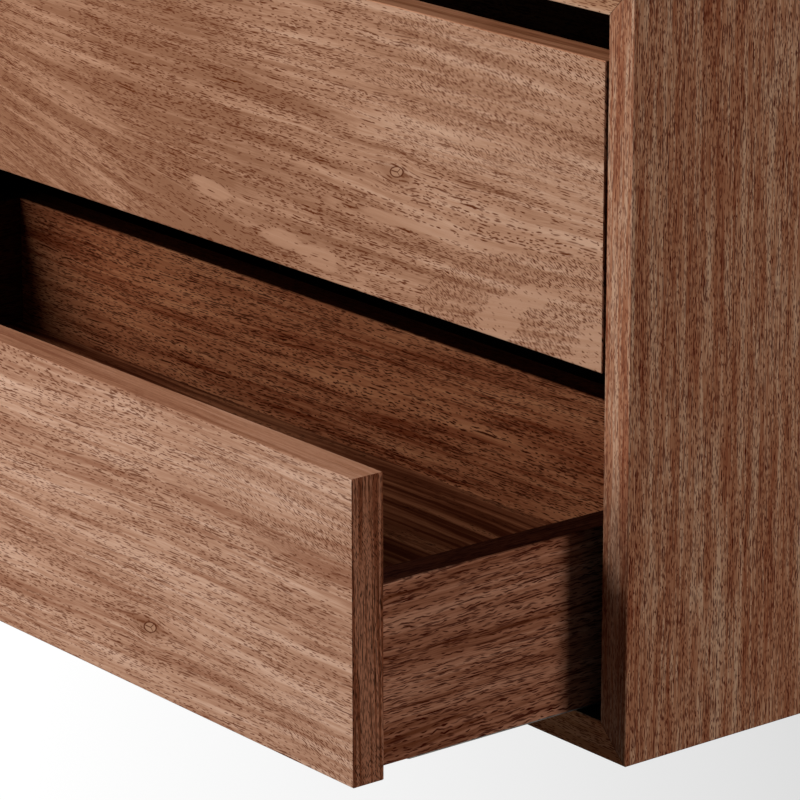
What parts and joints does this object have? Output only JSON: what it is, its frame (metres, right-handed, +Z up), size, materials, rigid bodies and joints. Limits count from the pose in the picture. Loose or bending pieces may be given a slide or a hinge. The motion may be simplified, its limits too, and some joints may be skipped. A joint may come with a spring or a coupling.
{
  "type": "chest of drawers",
  "caption": "Low wall-hung drawer chest in walnut veneer: mitred case, inset handle-free fronts below finger gaps, and drawer boxes on hidden roller runners.",
  "frame": {"origin": "middle of the case's underside", "axes": "+X along the width to the right seen from the front, +Y from the front to the back, +Z up"},
  "size_m": [0.815, 0.516, 0.4],
  "materials": {
    "case_veneer": "matt oiled walnut veneer",
    "front_veneer": "matt oiled walnut veneer",
    "box_veneer": "matt oiled walnut veneer",
    "bottom_veneer": "matt oiled walnut veneer",
    "back_veneer": "matt walnut veneer",
    "rail_plywood": "raw birch plywood",
    "runner_steel": "zinc plated",
    "screw_steel": "bright zinc",
    "roller_steel": "ground",
    "cage_nylon": "moulded nylon",
    "stop_rubber": "matt"
  },
  "bodies": {
    "case": {"side_right": "case_veneer", "side_left": "case_veneer", "top_panel": "case_veneer", "bottom_panel": "case_veneer", "back_panel": "back_veneer", "mitre_splines": "rail_plywood", "lower_wall_rail": "rail_plywood", "upper_wall_rail": "rail_plywood", "stop_pads": "stop_rubber", "lower_case_rail_left": "runner_steel", "lower_case_rail_right": "runner_steel", "lower_case_rail_screws": "screw_steel", "upper_case_rail_left": "runner_steel", "upper_case_rail_right": "runner_steel", "upper_case_rail_screws": "screw_steel"},
    "lower_drawer": {"lower_front": "front_veneer", "lower_box_front": "box_veneer", "lower_box_back": "box_veneer", "lower_box_side_left": "box_veneer", "lower_box_side_right": "box_veneer", "lower_box_bottom": "bottom_veneer", "lower_front_screws": "screw_steel", "lower_bottom_screws": "screw_steel", "lower_drawer_rail_left": "runner_steel", "lower_drawer_rail_right": "runner_steel", "lower_drawer_rail_screws": "screw_steel"},
    "lower_cages": {"lower_roller_cage_left": "cage_nylon", "lower_roller_cage_right": "cage_nylon", "lower_rollers": "roller_steel"},
    "upper_drawer": {"upper_front": "front_veneer", "upper_box_front": "box_veneer", "upper_box_back": "box_veneer", "upper_box_side_left": "box_veneer", "upper_box_side_right": "box_veneer", "upper_box_bottom": "bottom_veneer", "upper_front_screws": "screw_steel", "upper_bottom_screws": "screw_steel", "upper_drawer_rail_left": "runner_steel", "upper_drawer_rail_right": "runner_steel", "upper_drawer_rail_screws": "screw_steel"},
    "upper_cages": {"upper_roller_cage_left": "cage_nylon", "upper_roller_cage_right": "cage_nylon", "upper_rollers": "roller_steel"}
  },
  "joints": [
    {"name": "lower_drawer_slide", "type": "slide", "parent": "case", "child": "lower_drawer", "axis": [0, -1, 0], "range_m": [-0.156, 0.054]},
    {"name": "lower_cage_slide", "type": "slide", "parent": "case", "child": "lower_cages", "axis": [0, -1, 0], "range_m": [-0.078, 0.027]},
    {"name": "upper_drawer_slide", "type": "slide", "parent": "case", "child": "upper_drawer", "axis": [0, -1, 0], "range_m": [0, 0.21]},
    {"name": "upper_cage_slide", "type": "slide", "parent": "case", "child": "upper_cages", "axis": [0, -1, 0], "range_m": [0, 0.105]}
  ],
  "couplings": [
    {"joint": "lower_cage_slide", "follows": "lower_drawer_slide", "ratio": 0.5},
    {"joint": "upper_cage_slide", "follows": "upper_drawer_slide", "ratio": 0.5}
  ]
}
